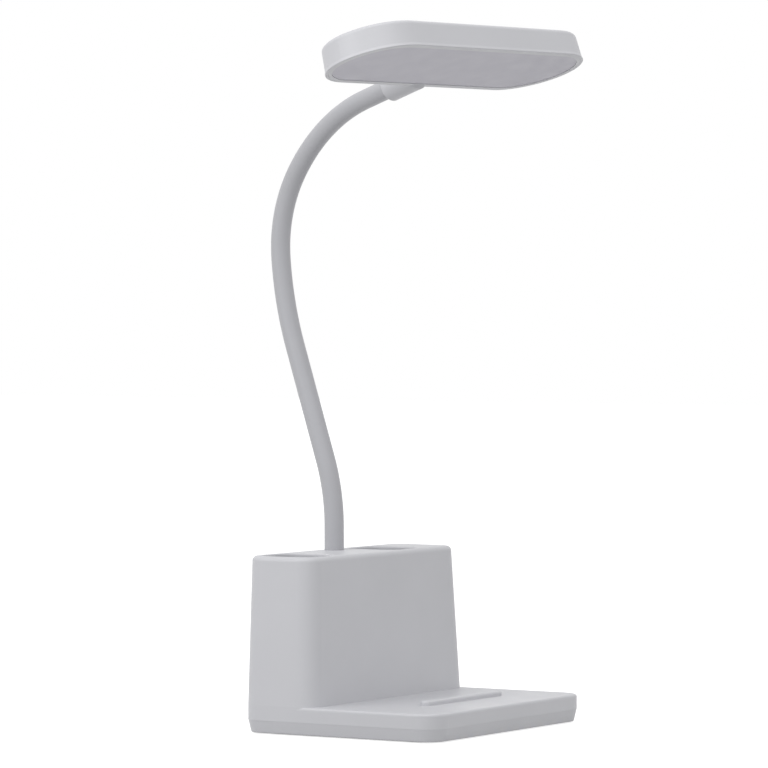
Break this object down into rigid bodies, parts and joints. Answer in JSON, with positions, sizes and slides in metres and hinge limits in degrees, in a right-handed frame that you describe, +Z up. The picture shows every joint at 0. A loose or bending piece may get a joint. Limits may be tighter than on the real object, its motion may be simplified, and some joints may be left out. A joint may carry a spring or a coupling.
{
  "type": "desk lamp with organizer base",
  "caption": "LED desk lamp on a gooseneck that stands on a base with a pen-holder block, two pen wells and a phone tray with a stop bar.",
  "frame": {"origin": "centre of the base outline on the lower face of the anti-slip pad, which is the plane the lamp stands on", "axes": "+Z up, -Y towards the front (tray side), +X along the width of the base, to the right as seen from the front"},
  "size_m": [0.1636, 0.1529, 0.3324],
  "materials": {
    "shell_plastic": "satin off-white moulded plastic",
    "sleeve_plastic": "satin off-white flexible plastic",
    "diffuser_opal": "frosted opal plastic, unlit",
    "pad_rubber": "matt foam rubber",
    "zinc_steel": "zinc-plated steel",
    "weight_steel": "plain steel plate",
    "hose_steel": "wound steel strip",
    "cell_wrap": "shrink-wrapped cell",
    "foam": "soft foam",
    "board_laminate": "green circuit board",
    "chip_black": "moulded black",
    "plug_plastic": "ivory plug housing",
    "red_lead": "insulated wire",
    "lead_jacket": "white insulated lead",
    "ferrule_brass": "turned brass",
    "board_aluminium": "white-coated aluminium board",
    "led_phosphor": "yellow phosphor lens"
  },
  "bodies": {
    "base": {"base_housing": "shell_plastic", "base_cover": "shell_plastic", "anti_slip_pad": "pad_rubber", "cover_screws": "zinc_steel", "counterweight": "weight_steel", "battery_cell": "cell_wrap", "cell_foam": "foam", "cell_leads": "red_lead", "control_board": "board_laminate", "driver_chip": "chip_black", "boost_coil": "chip_black", "lead_plug": "plug_plastic", "charging_socket": "zinc_steel", "touch_board": "board_laminate", "touch_lead": "lead_jacket", "neck_ferrule": "ferrule_brass", "neck_washer": "zinc_steel", "neck_nut": "ferrule_brass", "neck_sleeve_foot": "sleeve_plastic", "neck_hose_foot": "hose_steel", "neck_lead_foot": "lead_jacket"},
    "neck_link_1": {"neck_sleeve_1": "sleeve_plastic", "neck_hose_1": "hose_steel", "neck_lead_1": "lead_jacket"},
    "neck_link_2": {"neck_sleeve_2": "sleeve_plastic", "neck_hose_2": "hose_steel", "neck_lead_2": "lead_jacket"},
    "neck_link_3": {"neck_sleeve_3": "sleeve_plastic", "neck_hose_3": "hose_steel", "neck_lead_3": "lead_jacket"},
    "neck_link_4": {"neck_sleeve_4": "sleeve_plastic", "neck_hose_4": "hose_steel", "neck_lead_4": "lead_jacket"},
    "neck_link_5": {"neck_sleeve_5": "sleeve_plastic", "neck_hose_5": "hose_steel", "neck_lead_5": "lead_jacket"},
    "neck_link_6": {"neck_sleeve_6": "sleeve_plastic", "neck_hose_6": "hose_steel", "neck_lead_6": "lead_jacket"},
    "head": {"neck_sleeve_head": "sleeve_plastic", "neck_hose_head": "hose_steel", "neck_lead_head": "lead_jacket", "head_cover": "shell_plastic", "head_connector": "shell_plastic", "connector_screws": "zinc_steel", "head_bezel": "shell_plastic", "head_diffuser": "diffuser_opal", "led_board": "board_aluminium", "led_board_screws": "zinc_steel", "leds": "led_phosphor", "head_plug": "plug_plastic"}
  },
  "joints": [
    {"name": "foot_bend_fore_and_aft", "type": "hinge", "parent": "base", "child": "neck_link_1", "pos_m": [-0.0008, 0.0456, 0.0943], "axis": [0.9816, -0.1908, 0], "range_deg": [-20, 20]},
    {"name": "lower_bend_sideways", "type": "hinge", "parent": "neck_link_1", "child": "neck_link_2", "pos_m": [0.00034, 0.05147, 0.12755], "axis": [0.1788, 0.9201, -0.3486], "range_deg": [-20, 20]},
    {"name": "middle_bend_fore_and_aft", "type": "hinge", "parent": "neck_link_2", "child": "neck_link_3", "pos_m": [0.00226, 0.06136, 0.15464], "axis": [0.9816, -0.1908, 0], "range_deg": [-20, 20]},
    {"name": "middle_bend_sideways", "type": "hinge", "parent": "neck_link_3", "child": "neck_link_4", "pos_m": [0.00419, 0.07125, 0.18173], "axis": [0.1788, 0.9201, -0.3486], "range_deg": [-20, 20]},
    {"name": "upper_bend_fore_and_aft", "type": "hinge", "parent": "neck_link_4", "child": "neck_link_5", "pos_m": [0.00603, 0.08073, 0.22457], "axis": [0.9816, -0.1908, 0], "range_deg": [-20, 20]},
    {"name": "crown_bend_sideways", "type": "hinge", "parent": "neck_link_5", "child": "neck_link_6", "pos_m": [0.00406, 0.07062, 0.26542], "axis": [0.1595, 0.8205, 0.549], "range_deg": [-20, 20]},
    {"name": "head_tilt", "type": "hinge", "parent": "neck_link_6", "child": "head", "pos_m": [-0.00471, 0.02548, 0.30007], "axis": [0.9816, -0.1908, 0], "range_deg": [-20, 20]}
  ]
}
